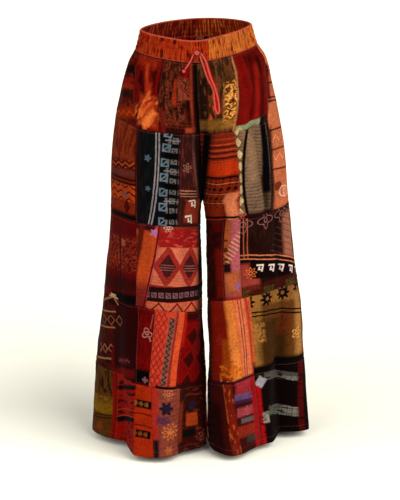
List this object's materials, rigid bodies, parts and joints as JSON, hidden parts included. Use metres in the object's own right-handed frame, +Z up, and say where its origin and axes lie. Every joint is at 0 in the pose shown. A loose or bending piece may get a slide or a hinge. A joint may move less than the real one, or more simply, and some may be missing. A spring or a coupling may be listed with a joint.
{
  "type": "patchwork palazzo trousers",
  "caption": "Wide-legged patchwork trousers with a shirred elastic waist and a drawstring, worn hollow form, in printed cotton patches of red, orange, black and olive.",
  "frame": {"origin": "centre of the waistband ring at half its height, where the wearer's waist holds the trousers", "axes": "+Z up, towards the waist opening; the front, with the drawstring, faces -Y; +X is on the viewer's right when looking at the front"},
  "size_m": [0.5451, 0.3253, 1.0277],
  "materials": {
    "left_front_1a": "printed woven cotton patch",
    "left_front_1b": "printed woven cotton patch",
    "left_front_1c": "printed woven cotton patch",
    "left_front_2a": "printed woven cotton patch",
    "left_front_2b": "printed woven cotton patch",
    "left_front_2c": "printed woven cotton patch",
    "left_front_3a": "printed woven cotton patch",
    "left_front_3b": "printed woven cotton patch",
    "left_front_3c": "printed woven cotton patch",
    "left_front_4a": "printed woven cotton patch",
    "left_front_4b": "printed woven cotton patch",
    "left_front_4c": "printed woven cotton patch",
    "left_front_4d": "printed woven cotton patch",
    "left_front_5a": "printed woven cotton patch",
    "left_front_5b": "printed woven cotton patch",
    "left_front_5c": "printed woven cotton patch",
    "left_front_5d": "printed woven cotton patch",
    "right_front_1a": "printed woven cotton patch",
    "right_front_1b": "printed woven cotton patch",
    "right_front_1c": "printed woven cotton patch",
    "right_front_2a": "printed woven cotton patch",
    "right_front_2b": "printed woven cotton patch",
    "right_front_3a": "printed woven cotton patch",
    "right_front_3b": "printed woven cotton patch",
    "right_front_3c": "printed woven cotton patch",
    "right_front_4a": "printed woven cotton patch",
    "right_front_4b": "printed woven cotton patch",
    "right_front_5a": "printed woven cotton patch",
    "right_front_5b": "printed woven cotton patch",
    "left_back_1a": "printed woven cotton patch",
    "left_back_1b": "printed woven cotton patch",
    "left_back_2a": "printed woven cotton patch",
    "left_back_2b": "printed woven cotton patch",
    "left_back_3a": "printed woven cotton patch",
    "left_back_3b": "printed woven cotton patch",
    "left_back_3c": "printed woven cotton patch",
    "left_back_4a": "printed woven cotton patch",
    "left_back_4b": "printed woven cotton patch",
    "left_back_5a": "printed woven cotton patch",
    "left_back_5b": "printed woven cotton patch",
    "right_back_1a": "printed woven cotton patch",
    "right_back_1b": "printed woven cotton patch",
    "right_back_2a": "printed woven cotton patch",
    "right_back_2b": "printed woven cotton patch",
    "right_back_3a": "printed woven cotton patch",
    "right_back_3b": "printed woven cotton patch",
    "right_back_4a": "printed woven cotton patch",
    "right_back_4b": "printed woven cotton patch",
    "right_back_4c": "printed woven cotton patch",
    "right_back_5a": "printed woven cotton patch",
    "right_back_5b": "printed woven cotton patch",
    "waistband_front_left": "shirred printed cotton waistband",
    "waistband_front_right": "shirred printed cotton waistband",
    "waistband_back_right": "shirred printed cotton waistband",
    "waistband_back_left": "shirred printed cotton waistband",
    "drawstring": "twisted cotton cord"
  },
  "bodies": {
    "root": {"left_front_1a": "left_front_1a", "left_front_1b": "left_front_1b", "left_front_1c": "left_front_1c", "left_front_2a": "left_front_2a", "left_front_2b": "left_front_2b", "left_front_2c": "left_front_2c", "left_front_3a": "left_front_3a", "left_front_3b": "left_front_3b", "left_front_3c": "left_front_3c", "left_front_4a": "left_front_4a", "left_front_4b": "left_front_4b", "left_front_4c": "left_front_4c", "left_front_4d": "left_front_4d", "left_front_5a": "left_front_5a", "left_front_5b": "left_front_5b", "left_front_5c": "left_front_5c", "left_front_5d": "left_front_5d", "right_front_1a": "right_front_1a", "right_front_1b": "right_front_1b", "right_front_1c": "right_front_1c", "right_front_2a": "right_front_2a", "right_front_2b": "right_front_2b", "right_front_3a": "right_front_3a", "right_front_3b": "right_front_3b", "right_front_3c": "right_front_3c", "right_front_4a": "right_front_4a", "right_front_4b": "right_front_4b", "right_front_5a": "right_front_5a", "right_front_5b": "right_front_5b", "left_back_1a": "left_back_1a", "left_back_1b": "left_back_1b", "left_back_2a": "left_back_2a", "left_back_2b": "left_back_2b", "left_back_3a": "left_back_3a", "left_back_3b": "left_back_3b", "left_back_3c": "left_back_3c", "left_back_4a": "left_back_4a", "left_back_4b": "left_back_4b", "left_back_5a": "left_back_5a", "left_back_5b": "left_back_5b", "right_back_1a": "right_back_1a", "right_back_1b": "right_back_1b", "right_back_2a": "right_back_2a", "right_back_2b": "right_back_2b", "right_back_3a": "right_back_3a", "right_back_3b": "right_back_3b", "right_back_4a": "right_back_4a", "right_back_4b": "right_back_4b", "right_back_4c": "right_back_4c", "right_back_5a": "right_back_5a", "right_back_5b": "right_back_5b", "waistband_front_left": "waistband_front_left", "waistband_front_right": "waistband_front_right", "waistband_back_right": "waistband_back_right", "waistband_back_left": "waistband_back_left", "drawstring_knot": "drawstring", "drawstring_end_knot": "drawstring", "drawstring_short_end": "drawstring", "drawstring_long_loop": "drawstring"}
  },
  "joints": []
}
